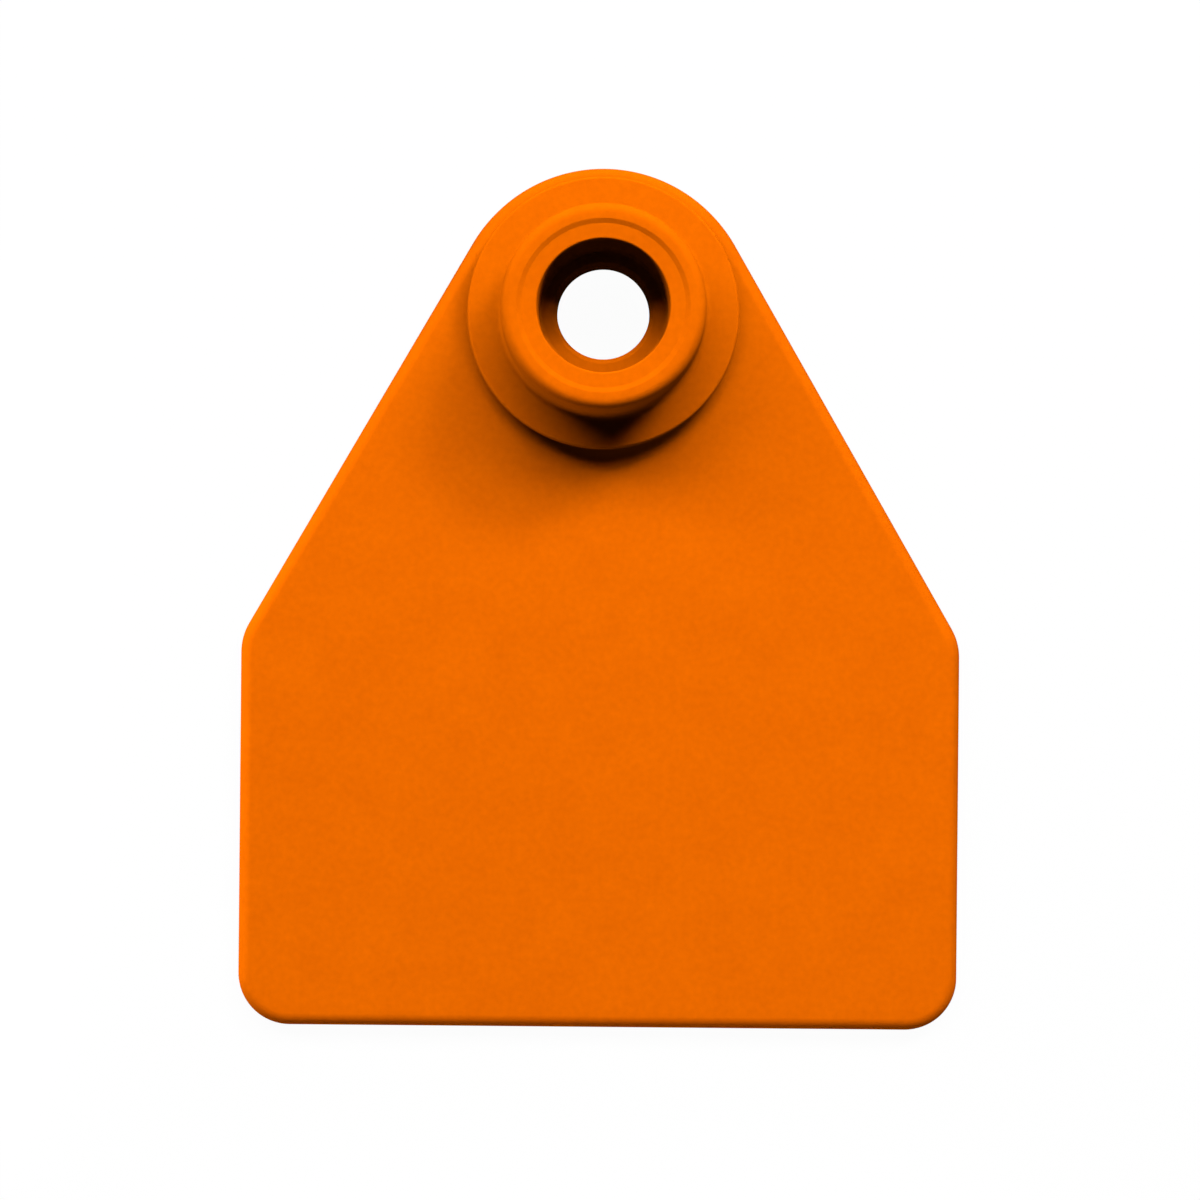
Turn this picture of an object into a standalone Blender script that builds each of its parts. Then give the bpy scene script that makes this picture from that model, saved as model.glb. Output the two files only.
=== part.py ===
"""Livestock ear tag, the half with the collar: one moulding in soft orange plastic.

The tag lies on its flat back, with the collar up (+Z) and the rounded top towards +Y.
The origin is the middle of its back. Lengths are in metres and angles in radians.

A tag has a single hole, so its whole skin is one band of closed loops. They run up through
the hole, over the rim, down the collar, over the flange and across the panel, then round
the panel's edge and back under it to where they began. The loops near the hole are circles
about its axis, and those near the edge are copies of the outline.
"""

import math

import bmesh
import bpy
from mathutils import Vector

# Hole, from its neck in the back up to its mouth in the rim
NECK_RADIUS = 0.0032  # lets the shank of the other half's stud through
LEAD_IN = 0.0004  # width and depth of the bevel round the neck in the back
NECK_BEVEL = 0.0003  # width and depth of the bevel round the neck in the socket's floor
SOCKET_FLOOR_HEIGHT = 0.0026  # of the ledge that holds the stud's tip
SOCKET_LEDGE = 0.0012  # how far the floor reaches out round the neck
SOCKET_CORNER_RADIUS = 0.0003
SOCKET_FLARE = 0.0001  # how much wider the socket is at its mouth than at its floor
MOUTH_EDGE_RADIUS = 0.0002

# Rim, a narrow bead round a shallow dish
DISH_WIDTH = 0.00104  # from the mouth to the foot of the step up to the bead
DISH_FALL = 0.00003  # from that foot down to the mouth
DISH_STEP = 0.00015
DISH_STEP_WIDTH = 0.00032
BEAD_WIDTH = 0.00094  # from the step to where the drafted wall would meet the rim's level

# Collar
TAG_HEIGHT = 0.0080  # from the back to the top of the rim
COLLAR_DRAFT = math.radians(5)
COLLAR_SHOULDER_RADIUS = 0.0005
COLLAR_FILLET_RADIUS = 0.00035  # in the corner between the wall and the flange

# Flange, the low disc that the collar stands on
FLANGE_WIDTH = 0.00257  # beyond the collar's wall, measured at the rim's level
FLANGE_STEP = 0.0014  # above the panel
FLANGE_EDGE_RADIUS = 0.0002
FLANGE_DRAFT = math.radians(5)

# Panel outline
PANEL_WIDTH = 0.0500
AXIS_TO_BASE = 0.04955  # from the hole's axis to the straight bottom edge
TOP_MARGIN = 0.00118  # how much larger the top arc's radius is than the flange's
TOP_ARC_DROP = 0.00035  # the top arc's centre lies this far below the hole's axis
SLANT_ANGLE = math.radians(30)  # between a slanted side and a straight one
SHOULDER_RADIUS = 0.0040  # where a slanted side turns into a straight one
CORNER_RADIUS = 0.0036  # at both ends of the bottom edge

# Panel section
PANEL_THICKNESS = 0.0015
BACK_EDGE_RADIUS = 0.0005
EDGE_LAND = 0.0001  # upright strip left between the rounded edges of front and back
FLANGE_LAND = 0.00005  # flat strip left between the flange and the front's rounded edge

# Facets
TURN_STEP = math.radians(5)  # the widest facet, seen from the hole's axis
CORNER_STEP = math.radians(11.25)  # on the outline's small corners
ROUND_STEP = math.radians(15)  # across a rounded edge
STEP_SLACK = 0.01  # share of a step that's too little to add another facet for
SHARP_ANGLE = math.radians(32)

# Moulded plastic
TAG_COLOUR = (0.85, 0.145, 0.001, 1.0)
TAG_ROUGHNESS = 0.6

# Radii and heights that follow, from the neck outwards
SOCKET_FOOT_RADIUS = NECK_RADIUS + SOCKET_LEDGE
MOUTH_RADIUS = SOCKET_FOOT_RADIUS + SOCKET_FLARE
DISH_RADIUS = MOUTH_RADIUS + DISH_WIDTH
COLLAR_RADIUS = DISH_RADIUS + DISH_STEP_WIDTH + BEAD_WIDTH
FLANGE_RADIUS = COLLAR_RADIUS + FLANGE_WIDTH
FLANGE_FOOT_RADIUS = FLANGE_RADIUS + FLANGE_STEP * math.tan(FLANGE_DRAFT)
FLANGE_TOP = PANEL_THICKNESS + FLANGE_STEP
TOP_ARC_RADIUS = FLANGE_RADIUS + TOP_MARGIN
FRONT_EDGE_RADIUS = PANEL_THICKNESS - BACK_EDGE_RADIUS - EDGE_LAND

QUARTER = math.pi / 2


def arc(centre, radius, start, end, step):
    """Points on an arc between two angles, in equal turns no longer than one step."""
    count = max(1, math.ceil(abs(end - start) / step - STEP_SLACK))
    turns = [start + (end - start) * i / count for i in range(count + 1)]
    return [
        (centre[0] + radius * math.cos(turn), centre[1] + radius * math.sin(turn))
        for turn in turns
    ]


def between(start, end):
    """Points inside the straight line between two others, in equal turns about the hole."""
    first = math.atan2(start[1], start[0])
    sweep = (math.atan2(end[1], end[0]) - first) % math.tau
    count = math.ceil(sweep / TURN_STEP)
    run = (end[0] - start[0], end[1] - start[1])
    points = []
    for i in range(1, count):
        ray = (math.cos(first + sweep * i / count), math.sin(first + sweep * i / count))
        share = (start[1] * ray[0] - start[0] * ray[1]) / (run[0] * ray[1] - run[1] * ray[0])
        points.append((start[0] + run[0] * share, start[1] + run[1] * share))
    return points


def panel_edge():
    """The outline's points, anticlockwise from the top arc, each with the way it faces."""
    shoulder_x = PANEL_WIDTH / 2 - SHOULDER_RADIUS
    # A slanted side touches the top arc, so that arc also places the shoulders.
    shoulder_reach = TOP_ARC_RADIUS - SHOULDER_RADIUS - shoulder_x * math.cos(SLANT_ANGLE)
    shoulder_y = shoulder_reach / math.sin(SLANT_ANGLE) - TOP_ARC_DROP
    corner_x = PANEL_WIDTH / 2 - CORNER_RADIUS
    corner_y = CORNER_RADIUS - AXIS_TO_BASE
    left_slant = math.pi - SLANT_ANGLE
    right_slant = math.tau + SLANT_ANGLE
    bends = [
        ((0, -TOP_ARC_DROP), TOP_ARC_RADIUS, SLANT_ANGLE, left_slant, TURN_STEP),
        ((-shoulder_x, shoulder_y), SHOULDER_RADIUS, left_slant, math.pi, CORNER_STEP),
        ((-corner_x, corner_y), CORNER_RADIUS, math.pi, math.pi + QUARTER, CORNER_STEP),
        ((corner_x, corner_y), CORNER_RADIUS, math.pi + QUARTER, math.tau, CORNER_STEP),
        ((shoulder_x, shoulder_y), SHOULDER_RADIUS, math.tau, right_slant, CORNER_STEP),
    ]
    curves = [arc(*bend) for bend in bends]
    edge = []
    for bend, curve, following in zip(bends, curves, curves[1:] + curves[:1]):
        start, end = bend[2:4]
        for i, point in enumerate(curve):
            edge.append((point, start + (end - start) * i / (len(curve) - 1)))
        for point in between(curve[-1], following[0]):
            edge.append((point, end))
    return edge


def fillet(before, corner, after, radius):
    """Points on the arc that rounds the corner of a section between its two neighbours."""
    corner = Vector(corner)
    back = (Vector(before) - corner).normalized()
    ahead = (Vector(after) - corner).normalized()
    half_opening = back.angle(ahead) / 2
    centre = corner + (back + ahead).normalized() * radius / math.sin(half_opening)
    reach = radius / math.tan(half_opening)
    first_spoke = corner + back * reach - centre
    turn = -first_spoke.angle_signed(corner + ahead * reach - centre)
    start = math.atan2(first_spoke.y, first_spoke.x)
    return arc(centre, radius, start, start + turn, ROUND_STEP)


def turned_section():
    """(radius, height) up the hole, over the rim, down the collar and round the flange."""
    dish_height = TAG_HEIGHT - DISH_STEP
    ledge = (NECK_RADIUS + NECK_BEVEL, SOCKET_FLOOR_HEIGHT)
    socket_foot = (SOCKET_FOOT_RADIUS, SOCKET_FLOOR_HEIGHT)
    mouth = (MOUTH_RADIUS, dish_height - DISH_FALL)
    dish = (DISH_RADIUS, dish_height)
    bead = (DISH_RADIUS + DISH_STEP_WIDTH, TAG_HEIGHT)
    shoulder = (COLLAR_RADIUS, TAG_HEIGHT)
    collar_height = TAG_HEIGHT - FLANGE_TOP
    collar_foot = (COLLAR_RADIUS + collar_height * math.tan(COLLAR_DRAFT), FLANGE_TOP)
    flange_edge = (FLANGE_RADIUS, FLANGE_TOP)
    flange_foot = (FLANGE_FOOT_RADIUS, PANEL_THICKNESS)
    return [
        (NECK_RADIUS + LEAD_IN, 0),
        (NECK_RADIUS, LEAD_IN),
        (NECK_RADIUS, SOCKET_FLOOR_HEIGHT - NECK_BEVEL),
        ledge,
        *fillet(ledge, socket_foot, mouth, SOCKET_CORNER_RADIUS),
        *fillet(socket_foot, mouth, dish, MOUTH_EDGE_RADIUS),
        dish,
        bead,
        *fillet(bead, shoulder, collar_foot, COLLAR_SHOULDER_RADIUS),
        *fillet(shoulder, collar_foot, flange_edge, COLLAR_FILLET_RADIUS),
        *fillet(collar_foot, flange_edge, flange_foot, FLANGE_EDGE_RADIUS),
        flange_foot,
    ]


def edge_section(front_radius):
    """(inset, height) round the panel's edge, from its front to its back."""
    front_centre = (front_radius, PANEL_THICKNESS - front_radius)
    back_centre = (BACK_EDGE_RADIUS, BACK_EDGE_RADIUS)
    return [
        *arc(front_centre, front_radius, QUARTER, math.pi, ROUND_STEP),
        *arc(back_centre, BACK_EDGE_RADIUS, math.pi, math.pi + QUARTER, ROUND_STEP),
    ]


def edge_loops(edge):
    """The loops round the panel's edge. Its rounding narrows where the flange is close."""
    columns = []
    for (x, y), facing in edge:
        room = math.hypot(x, y) - FLANGE_FOOT_RADIUS - FLANGE_LAND
        columns.append(
            [
                (x - inset * math.cos(facing), y - inset * math.sin(facing), height)
                for inset, height in edge_section(min(FRONT_EDGE_RADIUS, room))
            ]
        )
    return [list(loop) for loop in zip(*columns)]


def tag_loops():
    """Every loop of the skin, in order, with its points at the same turns about the hole."""
    edge = panel_edge()
    turns = [math.atan2(y, x) for (x, y), _ in edge]
    circles = [
        [(radius * math.cos(turn), radius * math.sin(turn), height) for turn in turns]
        for radius, height in turned_section()
    ]
    return circles + edge_loops(edge)


def skin(name, loops):
    """A closed mesh of the loops, each joined to the next and the last to the first."""
    shape = bmesh.new()
    rows = [[shape.verts.new(point) for point in loop] for loop in loops]
    for row, following in zip(rows, rows[1:] + rows[:1]):
        for i in range(len(row)):
            shape.faces.new((row[i - 1], row[i], following[i], following[i - 1]))
    bmesh.ops.recalc_face_normals(shape, faces=shape.faces)
    mesh = bpy.data.meshes.new(name)
    shape.to_mesh(mesh)
    shape.free()
    mesh.shade_smooth()
    mesh.set_sharp_from_angle(angle=SHARP_ANGLE)
    return mesh


def moulded_plastic():
    """The tag's own matte orange, coloured right through."""
    material = bpy.data.materials.new("moulded_plastic")
    material.use_nodes = True
    shader = material.node_tree.nodes["Principled BSDF"]
    shader.inputs["Base Color"].default_value = TAG_COLOUR
    shader.inputs["Roughness"].default_value = TAG_ROUGHNESS
    shader.inputs["Metallic"].default_value = 0
    return material


def ear_tag():
    """The moulding, placed so that the middle of its back is the origin."""
    mesh = skin("ear_tag", tag_loops())
    mesh.materials.append(moulded_plastic())
    tag = bpy.data.objects.new("ear_tag", mesh)
    top_reach = TOP_ARC_RADIUS - TOP_ARC_DROP
    tag.location.y = (AXIS_TO_BASE - top_reach) / 2
    flats = tag.modifiers.new("flat faces stay flat", "WEIGHTED_NORMAL")
    flats.keep_sharp = True
    bpy.context.scene.collection.objects.link(tag)
    return tag


def main():
    for old in list(bpy.data.objects):
        bpy.data.objects.remove(old, do_unlink=True)
    ear_tag()


main()
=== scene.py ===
"""Looks of the livestock ear tag: its moulded surface, the plastic, the floor, the light and the camera.

The tag is a single moulding, so a single fine mesh takes the place of its faceted solid. It has
the same outline, heights and hole. The walls and roundings of its collar and flange are within
0.2 mm of the solid's, and every small edge is rounded as a mould leaves it.
Lengths are in metres and angles in radians, in the part's own frame.
"""

import math

import bmesh
import bpy
from mathutils import Matrix, Vector


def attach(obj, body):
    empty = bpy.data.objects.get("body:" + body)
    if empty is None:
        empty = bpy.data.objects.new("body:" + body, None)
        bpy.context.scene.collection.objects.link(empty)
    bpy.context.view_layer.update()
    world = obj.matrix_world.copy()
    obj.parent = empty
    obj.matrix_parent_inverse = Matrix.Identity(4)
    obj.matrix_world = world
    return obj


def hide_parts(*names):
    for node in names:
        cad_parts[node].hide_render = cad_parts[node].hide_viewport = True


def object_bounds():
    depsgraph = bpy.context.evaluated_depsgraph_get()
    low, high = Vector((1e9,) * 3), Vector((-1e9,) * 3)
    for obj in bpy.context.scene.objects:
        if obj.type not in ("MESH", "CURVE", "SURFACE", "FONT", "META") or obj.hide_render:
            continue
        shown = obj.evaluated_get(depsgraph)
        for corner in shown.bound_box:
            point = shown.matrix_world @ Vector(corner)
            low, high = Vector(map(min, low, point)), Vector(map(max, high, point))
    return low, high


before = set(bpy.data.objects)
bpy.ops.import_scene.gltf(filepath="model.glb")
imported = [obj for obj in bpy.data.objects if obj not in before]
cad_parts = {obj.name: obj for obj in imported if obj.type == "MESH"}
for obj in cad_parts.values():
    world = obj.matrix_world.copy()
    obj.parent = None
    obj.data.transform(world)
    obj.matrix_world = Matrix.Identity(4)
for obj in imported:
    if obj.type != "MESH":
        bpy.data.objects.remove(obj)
cad_low, cad_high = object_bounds()

QUARTER = math.pi / 2
WHITE = (1, 1, 1, 1)

# Panel outline, seen from the hole's axis
PANEL_WIDTH = cad_high.x - cad_low.x
AXIS_TO_BASE = 0.04955
TOP_ARC_RADIUS = 0.01055
TOP_ARC_DROP = 0.00035
SLANT_ANGLE = math.radians(30)
SHOULDER_RADIUS = 0.0040
CORNER_RADIUS = 0.0036
HOLE_Y = cad_low.y + AXIS_TO_BASE

# Heights above the back
PANEL_THICKNESS = 0.0015
FLANGE_TOP = 0.0029
RIM_HEIGHT = cad_high.z - cad_low.z

# Panel edge, with the witness line that the two mould halves leave round it
FRONT_EDGE_RADIUS = 0.0009
BACK_EDGE_RADIUS = 0.0005
WITNESS_DEPTH = 0.00002
WITNESS_WIDTH = 0.00006
WITNESS_HEIGHT = (PANEL_THICKNESS - FRONT_EDGE_RADIUS + BACK_EDGE_RADIUS) / 2
FLANGE_LAND = 0.00005  # flat left between the flange and the rounded edge at the top

# Flange and collar
FLANGE_RADIUS = 0.00937
FLANGE_EDGE_RADIUS = 0.0002
FLANGE_DRAFT = math.radians(2)
FLANGE_FOOT = FLANGE_RADIUS + (FLANGE_TOP - PANEL_THICKNESS) * math.tan(FLANGE_DRAFT)
COLLAR_RADIUS = 0.00695
COLLAR_DRAFT = math.radians(1)
COLLAR_SHOULDER_RADIUS = 0.00068
COLLAR_FILLET_RADIUS = 0.00055

# Rim
DISH_RADIUS = 0.00554
DISH_STEP = 0.00015
DISH_STEP_WIDTH = 0.00032
DISH_FALL = 0.00003
DISH_EDGE_RADIUS = 0.00015

# Hole
MOUTH_RADIUS = 0.0045
MOUTH_EDGE_RADIUS = 0.00013
SOCKET_FOOT_RADIUS = 0.0044
SOCKET_FLOOR_HEIGHT = 0.0026
SOCKET_CORNER_RADIUS = 0.0003
NECK_RADIUS = 0.0032
NECK_BEVEL = 0.0003
NECK_EDGE_RADIUS = 0.00008
LEAD_IN = 0.0004
LEAD_IN_EDGE_RADIUS = 0.0001

# Fineness of the mesh: turns about the hole, and steps round a corner, the front edge and the rest
TURN_STEP = math.radians(0.8)
CORNER_STEP = math.radians(4)
FRONT_EDGE_STEP = math.radians(4.5)
ROUND_STEP = math.radians(9)
STEP_SLACK = 0.01  # part of a step that an arc may be longer by without one step more
PANEL_LOOP_SHARES = (0.04, 0.12, 0.24, 0.36, 0.48, 0.60, 0.72, 0.84, 0.94, 0.985)

# Plastic, mottled between a deeper and a lighter orange
ORANGE_DEEP = (0.74, 0.119, 0.0003, 1.0)
ORANGE_LIGHT = (0.96, 0.171, 0.0003, 1.0)
ROUGHNESS = 0.6
SHEEN_LEVEL = 0.0
CLOUD_SIZE = 0.0030
CLOUD_SHARE = 0.45
MOTTLE_SIZE = 0.00048
GRAIN_SIZE = 0.00018
GRAIN_DEPTH = 0.000002
NOISE_DETAIL = 2

# Specks under the surface, one in every few cells of this size
SPECK_CELL = 0.0045
SPECK_RADIUS = 0.00016
SPECK_SHARE = 0.25
SPECK_ORANGE = (0.62, 0.105, 0.002, 1.0)

# Painted shade: the dark grey the tag's walls show to each other's bounced light in place of their
# orange, which keeps its hollows and shadows darker than real plastic
PAINTED_SHADE_GREY = (0.05, 0.05, 0.05, 1.0)

# Camera, straight above the tag as in the photograph
CAMERA_HEIGHT = 0.210
CAMERA_FOOT = (-0.00005, -0.00014)
CAMERA_ROLL = math.radians(0.52)
VIEW_WIDTH = 0.08358  # across the picture, at the level of the witness line
SENSOR_WIDTH = 36.0  # in millimetres, as Blender counts it
CLIP_START = 0.01

# Lamps over the tag: tilt across towards +X, turn up from +Y, reach, size and power in watts
LAMP_REACH = 0.70
SIDE_TURN = math.radians(36)
SIDE_SIZE = (0.184, 0.098)
KEY = (0, math.radians(46), LAMP_REACH, (1.07, 0.230), 7.0)
LEFT = (math.radians(-45), SIDE_TURN, LAMP_REACH, SIDE_SIZE, 0.80)
RIGHT = (math.radians(30), SIDE_TURN, LAMP_REACH, SIDE_SIZE, 1.85)
LOW = (math.radians(45), math.radians(174), LAMP_REACH, (0.300, 0.040), 0.16)

# Low strips beside the tag, just outside the picture, that light its upright edges
STRIP_REACH = 0.046
STRIP_SIZE = (0.060, 0.001)
STRIP_HEIGHT = 0.0006
LEFT_STRIP = (-QUARTER, 0, STRIP_REACH, STRIP_SIZE, 0.0078)
LEFT_STRIP_AIM = (0, -0.008, STRIP_HEIGHT)
FOOT_STRIP = (0, math.pi, STRIP_REACH, STRIP_SIZE, 0.0015)
FOOT_STRIP_AIM = (0, 0, STRIP_HEIGHT)

# Room and floor
WORLD_LIGHT = 0.002
FLOOR_REACH = 3.0
FLOOR_GAP = 0.00002  # keeps the floor clear of the tag's back
FLOOR_SHADOW = 0.03  # how much of the floor's white a shadow takes away
FLOOR_BOUNCE = 0.10  # how light the floor is to the tag


def arc(centre, radius, start, end, step):
    """Points on an arc between two angles, in equal turns of at most about one step."""
    count = math.ceil(abs(end - start) / step - STEP_SLACK)
    turns = [start + (end - start) * i / count for i in range(count + 1)]
    return [
        (centre[0] + radius * math.cos(turn), centre[1] + radius * math.sin(turn))
        for turn in turns
    ]


def between(start, end):
    """Points inside the straight line between two others, in equal turns about the hole."""
    first = math.atan2(start[1], start[0])
    sweep = (math.atan2(end[1], end[0]) - first) % math.tau
    count = math.ceil(sweep / TURN_STEP)
    run = (end[0] - start[0], end[1] - start[1])
    points = []
    for i in range(1, count):
        ray = (math.cos(first + sweep * i / count), math.sin(first + sweep * i / count))
        share = (start[1] * ray[0] - start[0] * ray[1]) / (run[0] * ray[1] - run[1] * ray[0])
        points.append((start[0] + run[0] * share, start[1] + run[1] * share))
    return points


def panel_edge():
    """The outline's points, anticlockwise from the top arc, each with the way it faces."""
    shoulder_x = PANEL_WIDTH / 2 - SHOULDER_RADIUS
    shoulder_reach = TOP_ARC_RADIUS - SHOULDER_RADIUS - shoulder_x * math.cos(SLANT_ANGLE)
    shoulder_y = shoulder_reach / math.sin(SLANT_ANGLE) - TOP_ARC_DROP
    corner_x = PANEL_WIDTH / 2 - CORNER_RADIUS
    corner_y = CORNER_RADIUS - AXIS_TO_BASE
    left_slant = math.pi - SLANT_ANGLE
    right_slant = math.tau + SLANT_ANGLE
    bends = [
        ((0, -TOP_ARC_DROP), TOP_ARC_RADIUS, SLANT_ANGLE, left_slant, TURN_STEP),
        ((-shoulder_x, shoulder_y), SHOULDER_RADIUS, left_slant, math.pi, CORNER_STEP),
        ((-corner_x, corner_y), CORNER_RADIUS, math.pi, math.pi + QUARTER, CORNER_STEP),
        ((corner_x, corner_y), CORNER_RADIUS, math.pi + QUARTER, math.tau, CORNER_STEP),
        ((shoulder_x, shoulder_y), SHOULDER_RADIUS, math.tau, right_slant, CORNER_STEP),
    ]
    curves = [arc(*bend) for bend in bends]
    edge = []
    for bend, curve, following in zip(bends, curves, curves[1:] + curves[:1]):
        start, end = bend[2:4]
        for i, point in enumerate(curve):
            edge.append((point, start + (end - start) * i / (len(curve) - 1)))
        for point in between(curve[-1], following[0]):
            edge.append((point, end))
    return edge


def rounded(section):
    """The section's corners, (across, height, radius), each turned into an arc of its radius."""
    points = []
    for before, corner, after in zip([None] + section[:-1], section, section[1:] + [None]):
        here = Vector(corner[:2])
        if before is None or after is None or corner[2] == 0:
            points.append(tuple(here))
            continue
        back = (Vector(before[:2]) - here).normalized()
        on = (Vector(after[:2]) - here).normalized()
        opening = back.angle(on)
        reach = corner[2] / math.tan(opening / 2)
        centre = here + (back + on).normalized() * corner[2] / math.sin(opening / 2)
        spokes = (here + back * reach - centre, here + on * reach - centre)
        turn = spokes[0].angle_signed(spokes[1])
        start = math.atan2(spokes[0].y, spokes[0].x)
        points += arc(centre, corner[2], start, start - turn, ROUND_STEP)
    return points


def turned_section():
    """(radius, height) up the hole, over the rim, down the collar and over the flange."""
    mouth_height = RIM_HEIGHT - DISH_STEP - DISH_FALL
    collar_foot = COLLAR_RADIUS + (RIM_HEIGHT - FLANGE_TOP) * math.tan(COLLAR_DRAFT)
    return rounded(
        [
            (NECK_RADIUS + LEAD_IN * 2, 0, 0),
            (NECK_RADIUS + LEAD_IN, 0, LEAD_IN_EDGE_RADIUS),
            (NECK_RADIUS, LEAD_IN, LEAD_IN_EDGE_RADIUS),
            (NECK_RADIUS, SOCKET_FLOOR_HEIGHT - NECK_BEVEL, NECK_EDGE_RADIUS),
            (NECK_RADIUS + NECK_BEVEL, SOCKET_FLOOR_HEIGHT, NECK_EDGE_RADIUS),
            (SOCKET_FOOT_RADIUS, SOCKET_FLOOR_HEIGHT, SOCKET_CORNER_RADIUS),
            (MOUTH_RADIUS, mouth_height, MOUTH_EDGE_RADIUS),
            (DISH_RADIUS, RIM_HEIGHT - DISH_STEP, DISH_EDGE_RADIUS),
            (DISH_RADIUS + DISH_STEP_WIDTH, RIM_HEIGHT, DISH_EDGE_RADIUS),
            (COLLAR_RADIUS, RIM_HEIGHT, COLLAR_SHOULDER_RADIUS),
            (collar_foot, FLANGE_TOP, COLLAR_FILLET_RADIUS),
            (FLANGE_RADIUS, FLANGE_TOP, FLANGE_EDGE_RADIUS),
            (FLANGE_FOOT, PANEL_THICKNESS, 0),
        ]
    )


def edge_section(front_radius):
    """(inset, height) round the panel's edge, from its front to its back."""
    front = (WITNESS_DEPTH + front_radius, PANEL_THICKNESS - front_radius)
    back = (WITNESS_DEPTH + BACK_EDGE_RADIUS, BACK_EDGE_RADIUS)
    return [
        *arc(front, front_radius, QUARTER, math.pi, FRONT_EDGE_STEP),
        (WITNESS_DEPTH, WITNESS_HEIGHT + WITNESS_WIDTH / 2),
        (0, WITNESS_HEIGHT),
        (WITNESS_DEPTH, WITNESS_HEIGHT - WITNESS_WIDTH / 2),
        *arc(back, BACK_EDGE_RADIUS, math.pi, math.pi + QUARTER, ROUND_STEP),
    ]


def moulding_loops():
    """Every loop of the skin, in order, with its points at the same turns about the hole."""
    edge = panel_edge()
    turns = [math.atan2(point[1], point[0]) for point, _ in edge]
    loops = [
        [(radius * math.cos(turn), radius * math.sin(turn), height) for turn in turns]
        for radius, height in turned_section()
    ]
    outer = edge_loops(edge)
    front = [blended(loops[-1], outer[0], share) for share in PANEL_LOOP_SHARES]
    back = [blended(outer[-1], loops[0], 1 - share) for share in reversed(PANEL_LOOP_SHARES)]
    return loops + front + outer + back


def edge_loops(edge):
    """The loops round the panel's edge, whose rounding narrows where the flange is near."""
    columns = []
    for (x, y), facing in edge:
        room = math.hypot(x, y) - FLANGE_FOOT - WITNESS_DEPTH - FLANGE_LAND
        columns.append(
            [
                (x - inset * math.cos(facing), y - inset * math.sin(facing), height)
                for inset, height in edge_section(min(FRONT_EDGE_RADIUS, room))
            ]
        )
    return [list(loop) for loop in zip(*columns)]


def blended(inner, outer, share):
    """A loop that lies a share of the way from one loop to another."""
    return [tuple(Vector(a).lerp(Vector(b), share)) for a, b in zip(inner, outer)]


def skin(name, loops):
    """A closed mesh of the loops, each joined to the next and the last to the first."""
    shape = bmesh.new()
    rows = [[shape.verts.new(point) for point in loop] for loop in loops]
    for row, following in zip(rows, rows[1:] + rows[:1]):
        for i in range(len(row)):
            shape.faces.new((row[i - 1], row[i], following[i], following[i - 1]))
    bmesh.ops.recalc_face_normals(shape, faces=shape.faces)
    mesh = bpy.data.meshes.new(name)
    shape.to_mesh(mesh)
    shape.free()
    mesh.shade_smooth()
    return mesh


def moulded_plastic():
    """Matte orange, faintly mottled, with the fine grain of the mould, and painted shade: a dark grey
    that bounced light sees in place of the orange.
    """
    material = bpy.data.materials.new("moulded_plastic")
    material.use_nodes = True
    nodes, links = material.node_tree.nodes, material.node_tree.links
    shader = nodes["Principled BSDF"]
    shader.inputs["Roughness"].default_value = ROUGHNESS
    shader.inputs["Specular IOR Level"].default_value = SHEEN_LEVEL
    place = nodes.new("ShaderNodeTexCoord").outputs["Object"]

    clouds = noise(nodes, links, place, CLOUD_SIZE)
    mottle = noise(nodes, links, place, MOTTLE_SIZE)
    blend = nodes.new("ShaderNodeMix")
    blend.inputs["Factor"].default_value = CLOUD_SHARE
    links.new(mottle, blend.inputs["A"])
    links.new(clouds, blend.inputs["B"])
    orange = mixed(nodes, links, blend.outputs["Result"], ORANGE_DEEP, ORANGE_LIGHT)
    specked = mixed(nodes, links, specks(nodes, links, place), orange, SPECK_ORANGE)

    # Painted shade: light bouncing between the walls sees dark grey instead of orange, so the hollows
    # stay dark
    bounced = nodes.new("ShaderNodeLightPath").outputs["Is Diffuse Ray"]
    seen = mixed(nodes, links, bounced, specked, PAINTED_SHADE_GREY)
    links.new(seen, shader.inputs["Base Color"])

    grain = nodes.new("ShaderNodeBump")
    grain.inputs["Distance"].default_value = GRAIN_DEPTH
    links.new(noise(nodes, links, place, GRAIN_SIZE), grain.inputs["Height"])
    links.new(grain.outputs["Normal"], shader.inputs["Normal"])
    return material


def noise(nodes, links, place, size):
    """A cloudy value with features of about a given size."""
    texture = nodes.new("ShaderNodeTexNoise")
    texture.inputs["Scale"].default_value = 1 / size
    texture.inputs["Detail"].default_value = NOISE_DETAIL
    links.new(place, texture.inputs["Vector"])
    return texture.outputs["Fac"]


def mixed(nodes, links, share, first, second):
    """A colour between two others, each given as a colour or as a socket."""
    mix = nodes.new("ShaderNodeMixRGB")
    links.new(share, mix.inputs["Fac"])
    for socket, colour in ((mix.inputs["Color1"], first), (mix.inputs["Color2"], second)):
        if isinstance(colour, tuple):
            socket.default_value = colour
        else:
            links.new(colour, socket)
    return mix.outputs["Color"]


def specks(nodes, links, place):
    """1 inside a few small scattered specks and 0 elsewhere."""
    cells = nodes.new("ShaderNodeTexVoronoi")
    cells.inputs["Scale"].default_value = 1 / SPECK_CELL
    links.new(place, cells.inputs["Vector"])
    inside = nodes.new("ShaderNodeMapRange")
    inside.inputs["From Min"].default_value = SPECK_RADIUS / SPECK_CELL
    inside.inputs["From Max"].default_value = 0
    links.new(cells.outputs["Distance"], inside.inputs["Value"])
    chosen = nodes.new("ShaderNodeMath")
    chosen.operation = "LESS_THAN"
    chosen.inputs[1].default_value = SPECK_SHARE
    links.new(cells.outputs["Color"], chosen.inputs[0])
    speck = nodes.new("ShaderNodeMath")
    speck.operation = "MULTIPLY"
    links.new(inside.outputs["Result"], speck.inputs[0])
    links.new(chosen.outputs["Value"], speck.inputs[1])
    return speck.outputs["Value"]


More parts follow.
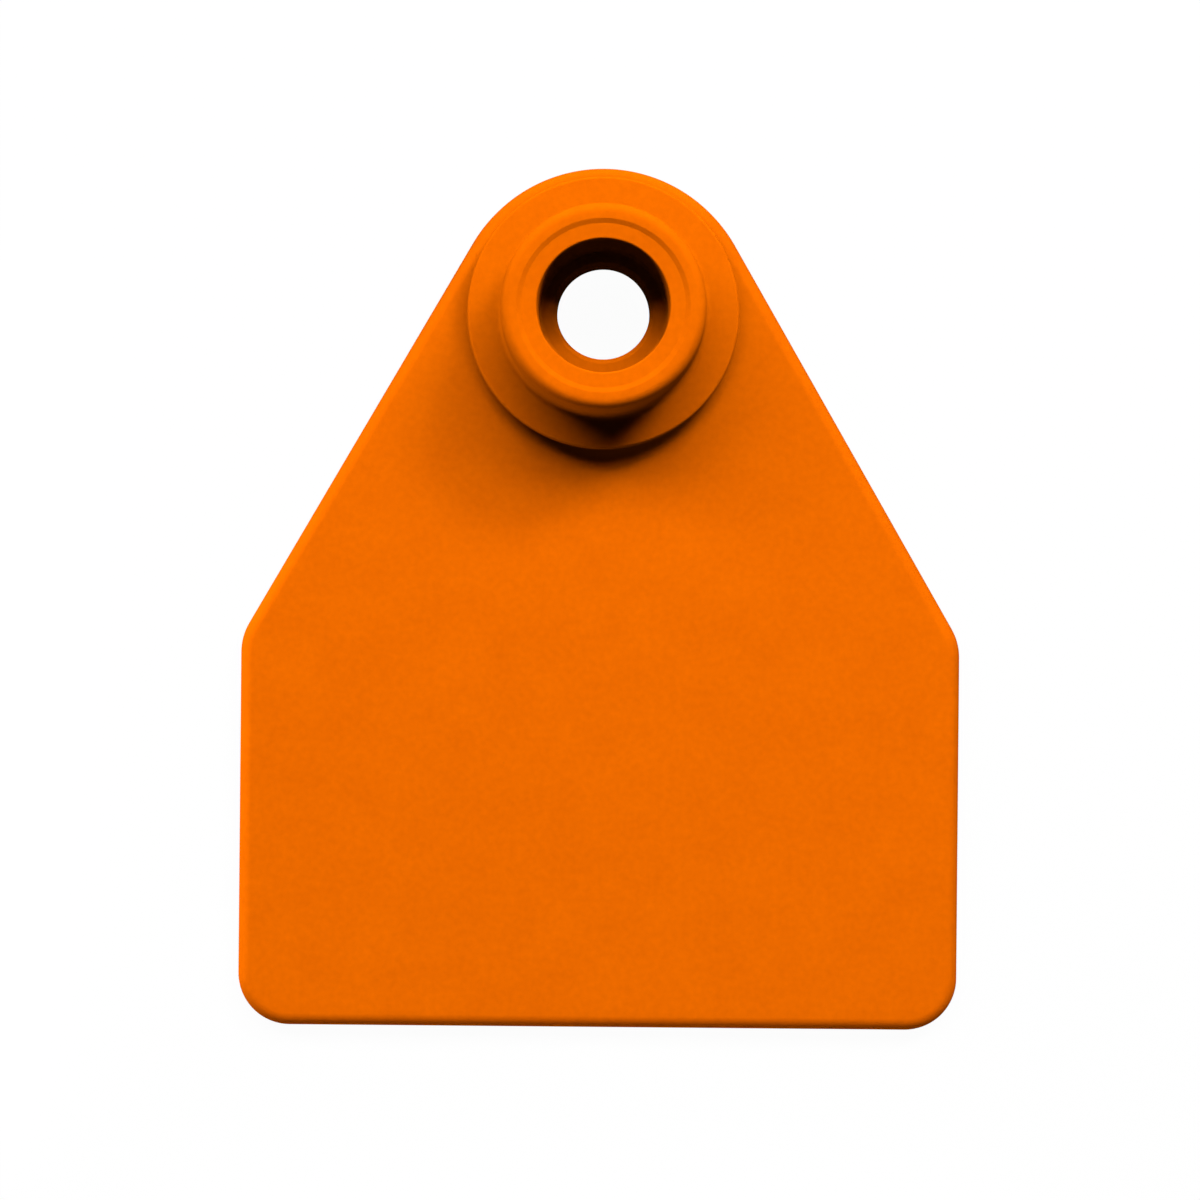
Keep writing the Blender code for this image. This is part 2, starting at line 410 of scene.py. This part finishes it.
def tag_moulding():
    """The tag, in place of its faceted solid."""
    mesh = skin("tag_moulding", moulding_loops())
    mesh.materials.append(moulded_plastic())
    tag = bpy.data.objects.new("tag_moulding", mesh)
    tag.location = (0, HOLE_Y, cad_low.z)
    bpy.context.scene.collection.objects.link(tag)
    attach(tag, "root")
    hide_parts("ear_tag")
    return tag


def white_floor():
    """A plain white floor that keeps a soft shadow."""
    mesh = bpy.data.meshes.new("floor")
    corners = [(x * FLOOR_REACH, y * FLOOR_REACH, 0) for x, y in ((-1, -1), (1, -1), (1, 1), (-1, 1))]
    mesh.from_pydata(corners, [], [(0, 1, 2, 3)])
    floor = bpy.data.objects.new("floor", mesh)
    floor.location.z = cad_low.z - FLOOR_GAP
    bpy.context.scene.collection.objects.link(floor)
    material = bpy.data.materials.new("floor_white")
    material.use_nodes = True
    tree = material.node_tree
    nodes, links = tree.nodes, tree.links
    nodes.clear()
    output = nodes.new("ShaderNodeOutputMaterial")
    white = nodes.new("ShaderNodeMixShader")
    white.inputs["Fac"].default_value = FLOOR_SHADOW
    glow = nodes.new("ShaderNodeEmission")
    glow.inputs["Color"].default_value = WHITE
    matte = nodes.new("ShaderNodeBsdfDiffuse")
    matte.inputs["Color"].default_value = WHITE
    links.new(glow.outputs["Emission"], white.inputs[1])
    links.new(matte.outputs["BSDF"], white.inputs[2])
    dull = nodes.new("ShaderNodeBsdfDiffuse")
    dull.inputs["Color"].default_value = (FLOOR_BOUNCE, FLOOR_BOUNCE, FLOOR_BOUNCE, 1)
    choice = nodes.new("ShaderNodeMixShader")
    links.new(in_view(nodes, links), choice.inputs["Fac"])
    links.new(dull.outputs["BSDF"], choice.inputs[1])
    links.new(white.outputs["Shader"], choice.inputs[2])
    links.new(choice.outputs["Shader"], output.inputs["Surface"])
    mesh.materials.append(material)
    return floor


def in_view(nodes, links):
    """1 for what the camera sees, directly, in a gloss or through glass, and 0 for other light."""
    path = nodes.new("ShaderNodeLightPath")
    seen = path.outputs["Is Camera Ray"]
    for indirect in ("Is Glossy Ray", "Is Transmission Ray"):
        either = nodes.new("ShaderNodeMath")
        either.operation = "MAXIMUM"
        links.new(seen, either.inputs[0])
        links.new(path.outputs[indirect], either.inputs[1])
        seen = either.outputs["Value"]
    return seen


def pale_world():
    """White to the camera, and only a breath of light on the tag."""
    world = bpy.data.worlds.new("studio")
    bpy.context.scene.world = world
    world.use_nodes = True
    tree = world.node_tree
    nodes, links = tree.nodes, tree.links
    background = nodes["Background"]
    background.inputs["Color"].default_value = WHITE
    strength = nodes.new("ShaderNodeMapRange")
    strength.inputs["To Min"].default_value = WORLD_LIGHT
    links.new(in_view(nodes, links), strength.inputs["Value"])
    links.new(strength.outputs["Result"], background.inputs["Strength"])


def softbox(name, across, up, reach, size, power, aim=(0, 0, 0)):
    """A rectangular lamp that faces a point of the tag, with its length along the tilt across."""
    lamp = bpy.data.lights.new(name, "AREA")
    lamp.shape = "RECTANGLE"
    lamp.size, lamp.size_y = size
    lamp.energy = power
    holder = bpy.data.objects.new(name, lamp)
    rise = Vector((0, math.cos(up), math.sin(up)))
    sideways = Vector((1, 0, 0))
    heading = rise * math.cos(across) + sideways * math.sin(across)
    along = sideways * math.cos(across) - rise * math.sin(across)
    holder.location = Vector(aim) + heading * reach
    holder.rotation_euler = Matrix((along, heading.cross(along), heading)).transposed().to_euler()
    holder.visible_camera = False
    bpy.context.scene.collection.objects.link(holder)
    return holder


def lights():
    """A wide softbox beyond the rounded top, three smaller ones and two low strips."""
    softbox("key", *KEY)
    softbox("left", *LEFT)
    softbox("right", *RIGHT)
    softbox("low", *LOW)
    softbox("left_strip", *LEFT_STRIP, LEFT_STRIP_AIM)
    softbox("foot_strip", *FOOT_STRIP, FOOT_STRIP_AIM)


def camera():
    """Straight above the tag, turned a little about its own axis."""
    data = bpy.data.cameras.new("camera")
    data.sensor_width = SENSOR_WIDTH
    data.lens = SENSOR_WIDTH * (CAMERA_HEIGHT - WITNESS_HEIGHT) / VIEW_WIDTH
    data.clip_start = CLIP_START
    holder = bpy.data.objects.new("camera", data)
    holder.location = (*CAMERA_FOOT, CAMERA_HEIGHT)
    holder.rotation_euler = (0, 0, CAMERA_ROLL)
    bpy.context.scene.collection.objects.link(holder)
    bpy.context.scene.camera = holder


bpy.context.scene.view_settings.view_transform = "Standard"
camera()
tag_moulding()
white_floor()
pale_world()
lights()
